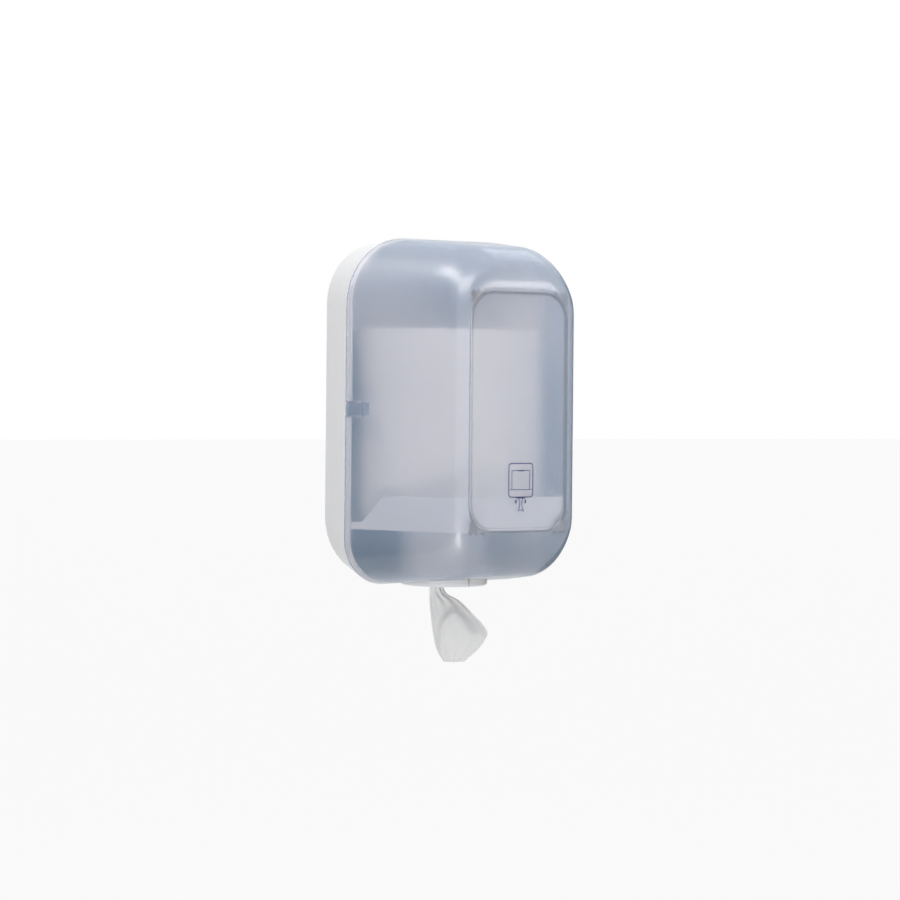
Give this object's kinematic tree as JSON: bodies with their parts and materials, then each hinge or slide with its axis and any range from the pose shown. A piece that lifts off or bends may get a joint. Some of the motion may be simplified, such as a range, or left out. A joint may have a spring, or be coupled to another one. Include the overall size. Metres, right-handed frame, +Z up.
{
  "type": "centrefeed roll dispenser",
  "caption": "Wall-mounted centrefeed paper dispenser: white tub, smoked hinged cover with side catch, tray, collar and slotted nozzle.",
  "frame": {"origin": "centre of the four wall screw holes, on the wall plane", "axes": "+Z up, +Y into the wall, -Y out of the wall towards the user, +X to the user's right"},
  "size_m": [0.248, 0.228, 0.4275],
  "materials": {
    "white_plastic": "satin",
    "smoked_plastic": "gloss",
    "grey_plastic": "matte",
    "tray_plastic": "satin",
    "pin_steel": "bright",
    "screw_steel": "zinc plated",
    "tissue": "matte"
  },
  "bodies": {
    "wall_part": {"base_shell": "white_plastic", "hinge_pin_upper": "pin_steel", "hinge_pin_lower": "pin_steel", "latch_housing": "white_plastic", "latch_screws": "screw_steel", "latch_spring": "screw_steel", "roll_tray": "tray_plastic", "tray_screws": "screw_steel", "outlet_collar": "tray_plastic", "nozzle": "tray_plastic", "paper_roll": "tissue", "paper_tail": "tissue"},
    "cover": {"front_cover": "smoked_plastic"},
    "catch": {"latch_slider": "grey_plastic"}
  },
  "joints": [
    {"name": "cover_hinge", "type": "hinge", "parent": "wall_part", "child": "cover", "pos_m": [0.122, -0.102, 0], "axis": [0, 0, 1], "range_deg": [0, 110]},
    {"name": "catch_press", "type": "slide", "parent": "wall_part", "child": "catch", "axis": [1, 0, 0], "range_m": [0, 0.003], "stiffness_N_per_m": 300, "springref_m": -0.004}
  ]
}
